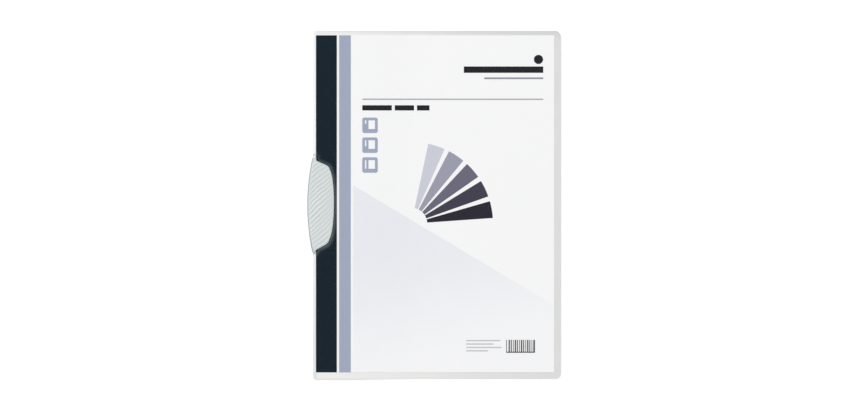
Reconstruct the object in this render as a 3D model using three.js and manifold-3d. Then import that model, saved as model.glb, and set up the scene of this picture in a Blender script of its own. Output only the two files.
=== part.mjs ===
// A4 clip folder: a milky back cover with a narrow spine, a clear front cover with a window,
// one printed sheet between them and a ribbed clip that swings out sideways about its top end.
// Millimetres. The folder lies flat with its front up: +X runs from the spine to the fore-edge,
// +Y to the head and +Z up. Lengths below are taken from the spine's outer edge and mid-height.
import * as THREE from 'three';
import { mergeVertices } from 'three/addons/utils/BufferGeometryUtils.js';
import Module from 'manifold-3d';

const wasm = await Module();
wasm.setup();

// Sheet of paper and its ink
const sheetWidth = 210;
const sheetHeight = 297;
const sheetThickness = 0.2;
const inkThickness = 0.05;

// Covers and the margins that they leave round the sheet
const spineMargin = 2.7;
const foreMargin = 5.8;
const headMargin = 4;
const footMargin = 5.7;
const backThickness = 0.5;
const frontThickness = 0.25;
const coverCornerRadius = 5;
const filmGap = 0.3;

// Spine
const spineThickness = 0.5;
const spineFoldRadius = 0.9;
const creaseGap = 0.1;

// Slope by which the covers come down from the clip to the surface they lie on
const slopeStart = 34;
const slopeLength = 60;
const slopeSteps = 6;
const filmSlopeStart = 2;
const filmSlopeLength = 24;
const filmSlopeSteps = 6;

// Clip
const clipLength = 86.2;
const clipRise = 0.3;
const clipReach = 18.6;
const clipOverhang = 4.85;
const arcEndInset = 0.44;
const lowerLeafThickness = 1;
const upperLeafThickness = 1.2;
const leafReachBelow = 13;
const wallThickness = 1.3;
const wallEndThickness = 0.6;
const wallClearance = 0.6;
const clipGap = 0.3;
const gripGap = 0.35;
const leafBevel = 0.35;
const bulgeHalf = 22;
const headSetback = 4;
const headCornerDrop = 9.65;
const headSlant = 0.445;
const footSetback = 4.7;
const footCornerRise = 8.9;
const footSlant = 0.57;
const cornerRounding = 3.2;
const cornerLeanWidth = 0.6;
const earRadius = 1.5;
const earSweepBelow = 0.12;
const smallestEar = 0.2;
const neckWidth = 0.2;
const tipShare = 0.6;
const arcEndShare = 1.2;

// Ribs on the clip's upper leaf
const ribPitch = 4.2;
const ribAngle = 40;
const ribHeight = 0.5;
const ribWidth = 2.7;
const ribFlank = 0.75;
const ribWander = 0.55;
const ribWanderTurns = 1.1;
const ribWanderShift = 1.9;
const ribSwell = 0.22;
const ribSwellTurn = 5.3;
const ribSwellShift = 2.3;
const ribBevelShare = 0.66;
const ribEarClearance = 1.2;
const ribRimOuter = 1.7;
const ribRimInner = 0.7;
const ribSamples = 9;

// Pivot rivet
const pivotInset = 1.6;
const pivotDrop = 1.6;
const rivetRadius = 0.7;
const rivetHeadRadius = 1.15;
const rivetHeadHeight = 0.45;
const pivotPlay = 0.1;
const headPlay = 0.1;
const headRimShare = 0.4;
const headCrownShare = 0.7;
const headCrownDrop = 0.3;
const rivetTailHeight = 0.35;
const tailRecess = 0.1;
const roundSides = 32;
const printCurveSteps = 5;
const discSides = 240;

// Window in the front cover and notch in the spine
const windowClearance = 1.2;
const windowEndClearance = 1.5;
const creaseDrop = 0.2;
const hingeClearance = 0.25;

// Print, in millimetres from the sheet's left and top edges
const darkBandWidth = 18.4;
const bandGap = 2;
const blueBandWidth = 10.3;
const ruleLeft = 40.8;
const ruleRight = 200.3;
const ruleTop = 55.8;
const ruleHeight = 1;
const titleTop = 61.6;
const titleHeight = 4.6;
const titleWords = [26, 17, 11];
const titleGap = 2.6;
const symbolSize = 13.6;
const symbolPitch = 17.5;
const symbolTop = 72.5;
const symbolRadius = 1.8;
const symbolCount = 3;
const pageDropShare = 0.18;
const pageLeftShare = 0.4;
const pageWidthShare = 0.42;
const pageHeightShare = 0.56;
const edgeBarLeftShare = 0.17;
const edgeBarWidthShare = 0.09;
const edgeBarHeightShare = 0.22;
const edgeBarGrowth = 0.17;
const cornerBarLength = 70;
const cornerBarHeight = 5.6;
const cornerBarTop = 27.4;
const cornerLineLength = 52;
const cornerLineHeight = 1.6;
const cornerLineDrop = 9.6;
const cornerDiscRadius = 4.2;
const paleFieldTopLeft = 132;
const paleFieldTopRight = 238;
const fanLeft = 84;
const fanTop = 166;
const fanInnerRadius = 14;
const fanOuterRadius = 72;
const fanFirstAngle = 4;
const fanBladeAngle = 12;
const fanStepAngle = 15.5;
const fanTones = [0x2d2b35, 0x45424f, 0x6c6a7b, 0x9c9dad, 0xc9ccd6];
const barBlockLeft = 167.6;
const barBlockRise = 28.6;
const barBlockWidth = 25.4;
const barBlockHeight = 11.4;
const barBaseHeight = 1;
const barCount = 14;
const barThinShare = 0.34;
const barStepShare = 0.16;
const barOrder = 5;
const barWidths = 3;
const smallPrintLeft = 132.4;
const smallPrintRise = 28.4;
const smallPrintPitch = 3;
const smallPrintHeight = 1;
const smallPrintLengths = [30, 24, 31, 19];

// Colours
const colours = {
  milkySheet: 0xe4e6e3,
  clearFilm: 0xeef1f2,
  clipPlastic: 0xd5d9d8,
  rivetPlastic: 0xe6e8e6,
  paper: 0xf6f6f7,
  darkBand: 0x1e282f,
  blueBand: 0xa2abbe,
  ruleGrey: 0xa4a6a9,
  titleGrey: 0x34363c,
  paleField: 0xe9eaee,
  barBlack: 0x3a3b3f,
  smallPrint: 0x9a9ca2,
};

// Heights of the layers, at the spine
const coverWidth = spineMargin + sheetWidth + foreMargin;
const coverHeight = headMargin + sheetHeight + footMargin;
const headEdge = coverHeight / 2;
const backLift = lowerLeafThickness + clipGap;
const sheetLeft = spineMargin;
const sheetTop = headEdge - headMargin;
const sheetLift = backThickness;
const inkLift = sheetLift + sheetThickness;
const leafUnder = backLift + inkLift + inkThickness + gripGap;
const leafTop = leafUnder + upperLeafThickness;
const rivetTop = leafTop + headPlay + rivetHeadHeight;
const clipTop = Math.max(leafTop + ribHeight, rivetTop);
const hingeHeight = clipTop + hingeClearance;
const creaseInset = creaseGap + hingeClearance;

// Places that the clip and its window share
const clipTopEdge = clipRise + clipLength / 2;
const clipFootEdge = clipRise - clipLength / 2;
const pivotX = pivotInset;
const pivotY = clipTopEdge - pivotDrop;
const arcEndDrop = arcEndShare * earRadius;
const arcRise = pivotY - arcEndDrop - clipRise;
const arcDepth = clipOverhang + arcEndInset;
const arcRadius = (arcRise ** 2 + arcDepth ** 2) / (2 * arcDepth);
const arcCentreX = arcRadius - clipOverhang;
const wallEndDepth = clipOverhang - wallClearance - wallEndThickness;
const wallHalfLength = Math.sqrt(2 * arcRadius * wallEndDepth - wallEndDepth ** 2);
const boreRadius = rivetRadius + pivotPlay;
const notchTop = clipTopEdge + windowEndClearance;
const notchFoot = clipFootEdge - windowEndClearance;
const wide = coverWidth + 2 * clipReach;

// Makes a closed solid from a geometry whose faces already close it.
function solidFrom(geometry) {
  const bare = geometry.clone();
  bare.deleteAttribute('normal');
  bare.deleteAttribute('uv');
  const merged = mergeVertices(bare, 1e-5);
  const vertProperties = new Float32Array(merged.attributes.position.array);
  const triVerts = new Uint32Array(merged.index.array);
  return new wasm.Manifold(new wasm.Mesh({ numProp: 3, vertProperties, triVerts }));
}

// Upright prism of an outline drawn in X and Y.
function prism(shape, low, high, curveSegments = 12) {
  const depth = high - low;
  const geometry = new THREE.ExtrudeGeometry(shape, { depth, bevelEnabled: false, curveSegments });
  geometry.translate(0, 0, low);
  return solidFrom(geometry);
}

// Prism with rounded upper and lower rims that keeps the outline's size.
function softPrism(shape, low, high, bevel, curveSegments = 12) {
  const geometry = new THREE.ExtrudeGeometry(shape, {
    depth: high - low - 2 * bevel,
    bevelThickness: bevel,
    bevelSize: bevel,
    bevelOffset: -bevel,
    bevelSegments: 2,
    curveSegments,
  });
  geometry.translate(0, 0, low + bevel);
  return solidFrom(geometry);
}

function box(left, right, foot, head, low, high) {
  const geometry = new THREE.BoxGeometry(right - left, head - foot, high - low);
  geometry.translate((left + right) / 2, (foot + head) / 2, (low + high) / 2);
  return solidFrom(geometry);
}

// Strip with a section drawn in X and Z, as long as the covers are high.
function strip(section) {
  const geometry = new THREE.ExtrudeGeometry(section, { depth: coverHeight, bevelEnabled: false });
  geometry.rotateX(Math.PI / 2);
  geometry.translate(0, coverHeight / 2, 0);
  return solidFrom(geometry);
}

function addPiece(parent, name, solid, colour, roughness) {
  const mesh = solid.getMesh();
  const geometry = new THREE.BufferGeometry();
  geometry.setAttribute('position', new THREE.BufferAttribute(new Float32Array(mesh.vertProperties), 3));
  geometry.setIndex(new THREE.BufferAttribute(new Uint32Array(mesh.triVerts), 1));
  geometry.computeVertexNormals();
  const material = new THREE.MeshStandardMaterial({ color: colour, roughness, metalness: 0 });
  const piece = new THREE.Mesh(geometry, material);
  piece.name = name;
  parent.add(piece);
  return piece;
}

// Half a wave from 1 down to 0.
function easeDown(share) {
  const held = Math.min(Math.max(share, 0), 1);
  return (1 + Math.cos(Math.PI * held)) / 2;
}

// Underside of the back cover at a distance from the spine.
function baseHeight(x) {
  return backLift * easeDown((x - slopeStart) / slopeLength);
}

function steps(start, length, count) {
  return Array.from({ length: count + 1 }, (_, i) => start + (length * i) / count);
}

const slopeStations = steps(slopeStart, slopeLength, slopeSteps);

// Section of a layer that lies a height above the back cover's underside.
function layerSection(left, right, lift, thickness) {
  const inside = slopeStations.filter((x) => x > left && x < right);
  const stations = [left, ...inside, right];
  const section = new THREE.Shape();
  section.moveTo(left, baseHeight(left) + lift);
  stations.slice(1).forEach((x) => section.lineTo(x, baseHeight(x) + lift));
  stations.reverse().forEach((x) => section.lineTo(x, baseHeight(x) + lift + thickness));
  return section;
}

// Piece of a layer with an outline drawn in X and Y, less any windows in it.
function layerPiece(outline, lift, thickness, windows = []) {
  const layer = strip(layerSection(0, coverWidth, lift, thickness));
  const column = prism(outline, -1, hingeHeight + 1, printCurveSteps);
  const openings = windows.map((shape) => prism(shape, -2, hingeHeight + 2, printCurveSteps));
  return openings.reduce((left, opening) => left.subtract(opening), layer.intersect(column));
}

// Outline of a cover: square at the spine, rounded at the fore-edge.
function coverShape(left) {
  const shape = new THREE.Shape();
  const r = coverCornerRadius;
  shape.moveTo(left, -headEdge);
  shape.lineTo(coverWidth - r, -headEdge);
  shape.absarc(coverWidth - r, r - headEdge, r, -Math.PI / 2, 0, false);
  shape.absarc(coverWidth - r, headEdge - r, r, 0, Math.PI / 2, false);
  shape.lineTo(left, headEdge);
  return shape;
}

// Round disc whose left edge runs along the clip's spine side, an inset inside it.
function spineSideDisc(inset) {
  const disc = new THREE.Shape();
  disc.absarc(arcCentreX, clipRise, arcRadius - inset, 0, 2 * Math.PI, false);
  return disc;
}

// Outline of the clip's upper leaf, drawn in by an inset everywhere but at the spine side.
function leafShape(inset) {
  const radius = arcRadius - Math.min(inset, 0);
  const headCorner = new THREE.Vector2(clipReach - headSetback - inset, clipTopEdge - headCornerDrop - inset);
  const footCorner = new THREE.Vector2(clipReach - footSetback - inset, clipFootEdge + footCornerRise + inset);
  const sideHead = headCorner.clone().add(new THREE.Vector2(cornerLeanWidth, -cornerRounding));
  const sideFoot = footCorner.clone().add(new THREE.Vector2(cornerLeanWidth, cornerRounding));
  const bulgeX = (8 * (clipReach - inset) - sideHead.x - sideFoot.x) / 6;
  const ear = Math.max(earRadius - inset, smallestEar);
  const tipX = pivotX - ear * tipShare;
  const tipY = clipFootEdge + inset;
  const neckX = pivotX + ear + neckWidth;
  const onHeadSlant = (x) => headCorner.y + (headCorner.x - x) * headSlant;
  const onFootSlant = (x) => footCorner.y - (footCorner.x - x) * footSlant;
  const arcHead = Math.asin(arcRise / radius);
  const arcFoot = Math.asin((clipRise - tipY - arcEndDrop) / radius);
  const shape = new THREE.Shape();
  shape.absarc(arcCentreX, clipRise, radius, Math.PI + arcFoot, Math.PI - arcHead, true);
  shape.absarc(pivotX, pivotY, ear, Math.PI, -Math.PI * earSweepBelow, true);
  shape.lineTo(neckX, onHeadSlant(neckX));
  const headStart = headCorner.x - cornerRounding;
  shape.lineTo(headStart, onHeadSlant(headStart));
  shape.quadraticCurveTo(headCorner.x, headCorner.y, sideHead.x, sideHead.y);
  shape.bezierCurveTo(bulgeX, clipRise + bulgeHalf, bulgeX, clipRise - bulgeHalf, sideFoot.x, sideFoot.y);
  const footStart = footCorner.x - cornerRounding;
  shape.quadraticCurveTo(footCorner.x, footCorner.y, footStart, onFootSlant(footStart));
  shape.lineTo(neckX, onFootSlant(neckX));
  shape.lineTo(tipX, tipY);
  return shape;
}

// One rib: a band that wanders a little as it climbs across the leaf, with sloping flanks.
function ribSolid(index, startY) {
  const left = -clipOverhang;
  const span = clipReach + clipOverhang;
  const rise = span * Math.tan((ribAngle * Math.PI) / 180);
  const phase = index * ribWanderShift;
  const centre = (t) => {
    const wave = ribWander * Math.sin(2 * Math.PI * t * ribWanderTurns + phase);
    return new THREE.Vector2(left + span * t, startY + rise * t + wave);
  };
  const swell = (t) => ribSwell * Math.sin(ribSwellTurn * t + ribSwellShift * index);
  const half = (t) => (ribWidth / 2) * (1 + swell(t));
  const stations = steps(0, 1, ribSamples - 1);
  const lower = stations.map((t) => centre(t).add(new THREE.Vector2(0, -half(t))));
  const upper = stations.map((t) => centre(t).add(new THREE.Vector2(0, half(t))));
  const shape = new THREE.Shape([...lower, ...upper.reverse()]);
  return softPrism(shape, leafTop - ribHeight, leafTop + ribHeight, ribFlank * ribBevelShare, 2);
}

function buildClip() {
  const outline = leafShape(0);
  const block = softPrism(outline, 0, leafTop, leafBevel, 24);

  // The slot that the folder's spine edge sits in, open to the fore-edge and at both ends.
  const slotLow = lowerLeafThickness;
  const slotHigh = leafUnder;
  const slotCore = prism(spineSideDisc(wallThickness), slotLow, slotHigh, discSides);
  const slotInside = box(-wallClearance, wide, -clipLength, clipLength, slotLow, slotHigh);
  const slotHead = box(-wide, wide, clipRise + wallHalfLength, clipLength, slotLow, slotHigh);
  const slotFoot = box(-wide, wide, -clipLength, clipRise - wallHalfLength, slotLow, slotHigh);
  const slot = slotCore.add(slotInside).add(slotHead).add(slotFoot);

  // The lower leaf is a narrower lens than the upper one, with the same spine side.
  const lens = new THREE.Shape();
  const lensHalf = clipLength / 2 - earRadius;
  lens.moveTo(-clipOverhang - 1, clipRise - lensHalf);
  lens.lineTo(pivotX + earRadius, clipRise - lensHalf);
  lens.quadraticCurveTo(2 * leafReachBelow - pivotX, clipRise, pivotX + earRadius + 1, clipRise + lensHalf);
  lens.lineTo(pivotX + earRadius + 1, clipTopEdge + 1);
  lens.lineTo(-clipOverhang - 1, clipTopEdge + 1);
  const slotMiddle = (slotLow + slotHigh) / 2;
  const lowerKept = prism(lens, -1, slotMiddle, 20);
  const lowerTrim = box(-wide, wide, -clipLength, clipLength, -1, slotMiddle).subtract(lowerKept);

  const bore = new THREE.Shape();
  bore.absarc(pivotX, pivotY, boreRadius, 0, 2 * Math.PI, false);
  const boreSolid = prism(bore, -1, leafTop + 1, roundSides / 2);
  const recess = new THREE.Shape();
  recess.absarc(pivotX, pivotY, rivetHeadRadius + headPlay, 0, 2 * Math.PI, false);
  const recessHeight = tailRecess + rivetTailHeight + headPlay;
  const recessSolid = prism(recess, -1, recessHeight, roundSides / 2);

  const ribRise = (clipReach + clipOverhang) * Math.tan((ribAngle * Math.PI) / 180);
  const firstRib = clipFootEdge - ribRise;
  const ribCount = Math.ceil((clipLength + ribRise) / ribPitch);
  const ribs = Array.from({ length: ribCount }, (_, i) => ribSolid(i, firstRib + i * ribPitch));
  const ribInside = prism(leafShape(ribRimInner), leafTop - ribHeight, clipTop + 1, 24);
  const ribField = ribInside.intersect(prism(spineSideDisc(ribRimOuter), 0, clipTop + 2, discSides));
  const earKeep = new THREE.Shape();
  earKeep.absarc(pivotX, pivotY, earRadius + ribEarClearance, 0, 2 * Math.PI, false);
  const earSolid = prism(earKeep, leafTop, clipTop + 1, roundSides / 2);
  const ribSum = ribs.reduce((sum, next) => sum.add(next)).intersect(ribField).subtract(earSolid);

  return block.subtract(slot).subtract(lowerTrim).add(ribSum).subtract(boreSolid).subtract(recessSolid);
}

function buildRivet() {
  const tailLow = tailRecess;
  const tailHigh = tailRecess + rivetTailHeight;
  const headLow = leafTop + headPlay;
  const rim = rivetHeadHeight * headRimShare;
  const profile = [
    new THREE.Vector2(0, tailLow),
    new THREE.Vector2(rivetHeadRadius, tailLow),
    new THREE.Vector2(rivetHeadRadius, tailHigh),
    new THREE.Vector2(rivetRadius, tailHigh),
    new THREE.Vector2(rivetRadius, headLow),
    new THREE.Vector2(rivetHeadRadius, headLow),
    new THREE.Vector2(rivetHeadRadius, headLow + rim),
    new THREE.Vector2(rivetHeadRadius * headCrownShare, rivetTop - rim * headCrownDrop),
    new THREE.Vector2(0, rivetTop),
  ];
  const geometry = new THREE.LatheGeometry(profile, roundSides);
  geometry.rotateX(Math.PI / 2);
  geometry.translate(pivotX, pivotY, 0);
  return solidFrom(geometry);
}

// Back sheet folded up into the spine, in one section.
function buildBackCover() {
  const spineTop = hingeHeight - creaseDrop - frontThickness - creaseGap;
  const outer = spineFoldRadius;
  const inner = spineFoldRadius - spineThickness;
  const section = new THREE.Shape();
  section.moveTo(spineThickness, spineTop);
  section.lineTo(0, spineTop);
  section.lineTo(0, backLift + outer);
  section.absarc(outer, backLift + outer, outer, Math.PI, 1.5 * Math.PI, false);
  slopeStations.forEach((x) => section.lineTo(x, baseHeight(x)));
  section.lineTo(coverWidth, baseHeight(coverWidth));
  section.lineTo(coverWidth, baseHeight(coverWidth) + backThickness);
  const backwards = [...slopeStations].reverse();
  backwards.forEach((x) => section.lineTo(x, baseHeight(x) + backThickness));
  section.lineTo(outer, backLift + backThickness);
  section.absarc(outer, backLift + outer, inner, 1.5 * Math.PI, Math.PI, true);
  const sheet = strip(section).intersect(prism(coverShape(-1), -1, hingeHeight + 1));
  const notchLow = backLift + outer;
  const notch = box(-1, outer + 1, notchFoot, notchTop, notchLow, hingeHeight);
  const bore = new THREE.Shape();
  bore.absarc(pivotX, pivotY, boreRadius, 0, 2 * Math.PI, false);
  return sheet.subtract(notch).subtract(prism(bore, -1, hingeHeight, roundSides / 2));
}

// Clear film: level at the spine's crease, then down to just above the sheet.
function buildFrontCover() {
  const overSheet = inkLift + filmGap;
  const crest = hingeHeight - creaseDrop - frontThickness - (backLift + overSheet);
  const underside = (x) => {
    const share = (x - filmSlopeStart) / filmSlopeLength;
    return baseHeight(x) + overSheet + crest * easeDown(share);
  };
  const filmStations = steps(filmSlopeStart, filmSlopeLength, filmSlopeSteps);
  const inner = [...filmStations, ...slopeStations].sort((a, b) => a - b);
  const stations = [creaseInset, ...inner, coverWidth];
  const section = new THREE.Shape();
  section.moveTo(creaseInset, underside(creaseInset));
  stations.slice(1).forEach((x) => section.lineTo(x, underside(x)));
  [...stations].reverse().forEach((x) => section.lineTo(x, underside(x) + frontThickness));
  const outline = prism(coverShape(creaseInset), -1, hingeHeight + 1);
  const sheet = strip(section).intersect(outline);
  const opening = prism(leafShape(-windowClearance), -1, hingeHeight + 1, 24);
  const spineSide = box(-1, pivotX + earRadius, notchFoot, notchTop, -1, hingeHeight + 1);
  return sheet.subtract(opening).subtract(spineSide);
}

// Outlines of the print, given from the sheet's left and top edges
function sheetX(fromLeft) {
  return sheetLeft + fromLeft;
}

function sheetY(fromTop) {
  return sheetTop - fromTop;
}

function rectangle(fromLeft, fromTop, width, height, radius = 0) {
  const left = sheetX(fromLeft);
  const right = left + width;
  const head = sheetY(fromTop);
  const foot = head - height;
  const shape = new THREE.Shape();
  if (radius === 0) {
    shape.moveTo(left, foot);
    shape.lineTo(right, foot);
    shape.lineTo(right, head);
    shape.lineTo(left, head);
    return shape;
  }
  shape.absarc(left + radius, foot + radius, radius, Math.PI, 1.5 * Math.PI, false);
  shape.absarc(right - radius, foot + radius, radius, 1.5 * Math.PI, 2 * Math.PI, false);
  shape.absarc(right - radius, head - radius, radius, 0, Math.PI / 2, false);
  shape.absarc(left + radius, head - radius, radius, Math.PI / 2, Math.PI, false);
  return shape;
}

function addPrint(parent, name, outline, colour, layer = 0, windows = []) {
  const solid = layerPiece(outline, inkLift + layer * inkThickness, inkThickness, windows);
  return addPiece(parent, name, solid, colour, 0.55);
}

// Rounded square with a page and, for each symbol, a longer edge bar left unprinted.
function addSymbol(parent, index) {
  const top = symbolTop + index * symbolPitch;
  const square = rectangle(ruleLeft, top, symbolSize, symbolSize, symbolRadius);
  const pageTop = top + symbolSize * pageDropShare;
  const pageLeft = ruleLeft + symbolSize * pageLeftShare;
  const page = rectangle(pageLeft, pageTop, symbolSize * pageWidthShare, symbolSize * pageHeightShare);
  const barLeft = ruleLeft + symbolSize * edgeBarLeftShare;
  const barHeight = symbolSize * (edgeBarHeightShare + edgeBarGrowth * index);
  const bar = rectangle(barLeft, pageTop, symbolSize * edgeBarWidthShare, barHeight);
  addPrint(parent, `print_symbol_${index + 1}`, square, colours.blueBand, 0, [page, bar]);
}

function fanBlade(index) {
  const start = ((fanFirstAngle + index * fanStepAngle) * Math.PI) / 180;
  const end = start + (fanBladeAngle * Math.PI) / 180;
  const shape = new THREE.Shape();
  shape.absarc(sheetX(fanLeft), sheetY(fanTop), fanOuterRadius, start, end, false);
  shape.absarc(sheetX(fanLeft), sheetY(fanTop), fanInnerRadius, end, start, true);
  return shape;
}

// Upright bars of uneven width that stand on one base line.
function barBlockShape() {
  const pitch = barBlockWidth / barCount;
  const head = sheetY(sheetHeight - barBlockRise);
  const foot = head - barBlockHeight;
  const base = foot + barBaseHeight;
  const shape = new THREE.Shape();
  shape.moveTo(sheetX(barBlockLeft), foot);
  shape.lineTo(sheetX(barBlockLeft) + barBlockWidth, foot);
  for (let i = barCount - 1; i >= 0; i -= 1) {
    const width = pitch * (barThinShare + barStepShare * ((i * barOrder) % barWidths));
    const left = sheetX(barBlockLeft) + i * pitch + (i === 0 ? 0 : (pitch - width) / 2);
    const right = i === barCount - 1 ? sheetX(barBlockLeft) + barBlockWidth : left + width;
    shape.lineTo(right, base);
    shape.lineTo(right, head);
    shape.lineTo(left, head);
    shape.lineTo(left, base);
  }
  return shape;
}

function paleFieldShape() {
  const left = sheetX(darkBandWidth + 2 * bandGap + blueBandWidth);
  const right = sheetX(sheetWidth);
  const shape = new THREE.Shape();
  shape.moveTo(left, sheetY(sheetHeight));
  shape.lineTo(right, sheetY(sheetHeight));
  shape.lineTo(right, sheetY(paleFieldTopRight));
  shape.lineTo(left, sheetY(paleFieldTopLeft));
  return shape;
}

const folder = new THREE.Group();

addPiece(folder, 'back_cover', buildBackCover(), colours.milkySheet, 0.45);
const paperShape = rectangle(0, 0, sheetWidth, sheetHeight);
addPiece(folder, 'insert_sheet', layerPiece(paperShape, sheetLift, sheetThickness), colours.paper, 0.8);
addPiece(folder, 'front_cover', buildFrontCover(), colours.clearFilm, 0.15);
addPiece(folder, 'swing_clip', buildClip(), colours.clipPlastic, 0.4);
addPiece(folder, 'pivot_rivet', buildRivet(), colours.rivetPlastic, 0.35);

const darkBand = rectangle(0, 0, darkBandWidth, sheetHeight);
addPrint(folder, 'print_dark_band', darkBand, colours.darkBand);
const blueBand = rectangle(darkBandWidth + bandGap, 0, blueBandWidth, sheetHeight);
addPrint(folder, 'print_blue_band', blueBand, colours.blueBand);
const rule = rectangle(ruleLeft, ruleTop, ruleRight - ruleLeft, ruleHeight);
addPrint(folder, 'print_rule', rule, colours.ruleGrey);

let wordLeft = ruleLeft;
titleWords.forEach((length, i) => {
  const word = rectangle(wordLeft, titleTop, length, titleHeight);
  addPrint(folder, `print_title_bar_${i + 1}`, word, colours.titleGrey);
  wordLeft += length + titleGap;
});

for (let i = 0; i < symbolCount; i += 1) {
  addSymbol(folder, i);
}

const cornerBar = rectangle(ruleRight - cornerBarLength, cornerBarTop, cornerBarLength, cornerBarHeight);
addPrint(folder, 'print_corner_bar', cornerBar, colours.titleGrey);
const cornerLineTop = cornerBarTop + cornerLineDrop;
const cornerLine = rectangle(ruleRight - cornerLineLength, cornerLineTop, cornerLineLength, cornerLineHeight);
addPrint(folder, 'print_corner_line', cornerLine, colours.smallPrint);
const cornerDisc = new THREE.Shape();
const discX = sheetX(ruleRight - cornerDiscRadius);
const discY = sheetY(cornerBarTop - bandGap - cornerDiscRadius);
cornerDisc.absarc(discX, discY, cornerDiscRadius, 0, 2 * Math.PI, false);
addPrint(folder, 'print_corner_disc', cornerDisc, colours.titleGrey);

addPrint(folder, 'print_pale_field', paleFieldShape(), colours.paleField);
fanTones.forEach((tone, i) => addPrint(folder, `print_fan_blade_${i + 1}`, fanBlade(i), tone));

addPrint(folder, 'print_bar_block', barBlockShape(), colours.barBlack, 1);
smallPrintLengths.forEach((length, i) => {
  const top = sheetHeight - smallPrintRise + i * smallPrintPitch;
  const line = rectangle(smallPrintLeft, top, length, smallPrintHeight);
  addPrint(folder, `print_small_line_${i + 1}`, line, colours.smallPrint, 1);
});

// The origin lies under the middle of the whole object, on the surface that it rests on.
folder.position.x = (clipOverhang - coverWidth) / 2;

export default folder;
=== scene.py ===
# A4 clip folder, lying flat with its front up, seen from straight above. Metres, +Z up.
import bpy
import bmesh
import math
import numpy as np
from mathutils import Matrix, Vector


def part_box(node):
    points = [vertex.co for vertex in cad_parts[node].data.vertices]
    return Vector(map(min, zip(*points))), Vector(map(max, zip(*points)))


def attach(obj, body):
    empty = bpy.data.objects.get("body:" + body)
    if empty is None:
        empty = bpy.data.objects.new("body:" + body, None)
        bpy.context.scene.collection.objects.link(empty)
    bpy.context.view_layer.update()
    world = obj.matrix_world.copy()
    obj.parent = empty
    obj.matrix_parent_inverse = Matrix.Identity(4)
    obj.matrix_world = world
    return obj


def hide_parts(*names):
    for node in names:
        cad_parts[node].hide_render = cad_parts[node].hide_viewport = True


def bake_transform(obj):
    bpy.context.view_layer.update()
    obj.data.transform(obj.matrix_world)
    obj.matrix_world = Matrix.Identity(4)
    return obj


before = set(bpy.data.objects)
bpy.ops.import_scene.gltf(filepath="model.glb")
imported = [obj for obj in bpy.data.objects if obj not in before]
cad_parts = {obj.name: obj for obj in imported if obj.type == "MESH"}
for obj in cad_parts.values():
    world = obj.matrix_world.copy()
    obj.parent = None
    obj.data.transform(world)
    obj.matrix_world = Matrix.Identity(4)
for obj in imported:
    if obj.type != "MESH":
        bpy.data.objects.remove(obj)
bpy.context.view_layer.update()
mm = 0.001

# Plan sizes below are in mm from the spine's outer edge and from mid-height.
backLow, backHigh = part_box("back_cover")
spineX = backLow[0] / mm
coverWidth = (backHigh[0] - backLow[0]) / mm
coverHeight = (backHigh[1] - backLow[1]) / mm


def srgb(red, green, blue):
    def linear(value):
        share = value / 255
        return share / 12.92 if share <= 0.04045 else ((share + 0.055) / 1.055) ** 2.4
    return (linear(red), linear(green), linear(blue), 1)


# Camera: straight down, far enough away that the folder has the size that it has in the photo
view = {
    "lens": 100,
    "sensor": 36,
    "farthest": 20,
    "pixelsPerMm": 1.135,
    "imageWidth": 860,
    "imageHeight": 410,
    "spinePixelX": 312.9,
    "middlePixelY": 204.8,
}


def addCamera():
    cameraData = bpy.data.cameras.new("topCamera")
    cameraData.lens = view["lens"]
    cameraData.sensor_width = view["sensor"]
    cameraData.clip_end = view["farthest"]
    camera = bpy.data.objects.new("topCamera", cameraData)
    frameWidth = view["imageWidth"] / view["pixelsPerMm"]
    distance = frameWidth * view["lens"] / view["sensor"]
    rightOfSpine = (view["imageWidth"] / 2 - view["spinePixelX"]) / view["pixelsPerMm"]
    belowMiddle = (view["imageHeight"] / 2 - view["middlePixelY"]) / view["pixelsPerMm"]
    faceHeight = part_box("insert_sheet")[1][2]
    camera.location = ((spineX + rightOfSpine) * mm, -belowMiddle * mm, distance * mm + faceHeight)
    bpy.context.scene.collection.objects.link(camera)
    bpy.context.scene.camera = camera


addCamera()
print("camera set")


# Puts a value into a socket: a colour or a number as it is, another socket by a link
def feed(links, value, socket):
    if isinstance(value, (int, float, tuple)):
        socket.default_value = value
    else:
        links.new(value, socket)


def combine(nodes, links, operation, first, second, clamp=False):
    node = nodes.new("ShaderNodeMath")
    node.operation = operation
    node.use_clamp = clamp
    feed(links, first, node.inputs[0])
    feed(links, second, node.inputs[1])
    return node.outputs[0]


def mixColours(nodes, links, share, first, second):
    mix = nodes.new("ShaderNodeMix")
    mix.data_type = "RGBA"
    feed(links, first, mix.inputs["A"])
    feed(links, second, mix.inputs["B"])
    links.new(share, mix.inputs["Factor"])
    return mix.outputs["Result"]


# Shows one shader where the share is 0 and another where it is 1
def mixShaders(nodes, links, share, first, second):
    mix = nodes.new("ShaderNodeMixShader")
    links.new(share, mix.inputs[0])
    links.new(first.outputs[0], mix.inputs[1])
    links.new(second.outputs[0], mix.inputs[2])
    links.new(mix.outputs[0], nodes["Material Output"].inputs["Surface"])


def startMaterial(name, specular):
    material = bpy.data.materials.new(name)
    material.use_nodes = True
    shader = material.node_tree.nodes["Principled BSDF"]
    shader.inputs["Specular IOR Level"].default_value = specular
    return material, material.node_tree.nodes, material.node_tree.links, shader


# Light: a white dome with one soft lamp at the upper left, so that the clip's ribs read
studio = {
    "domeStrength": 0.6,
    "seenStrength": 1,
    "lampAt": (-6.9, 6.3, 9.3),
    "lampSize": 8.4,
    "lampPower": 1070,
    "white": (1, 1, 1, 1),
    "floorSize": 8,
    "floorDrop": 0.0002,
    "floorColour": srgb(250, 250, 250),
    "floorRoughness": 0.9,
    "floorGlow": 0.2,
    "touchLength": 0.002,
}


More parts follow.
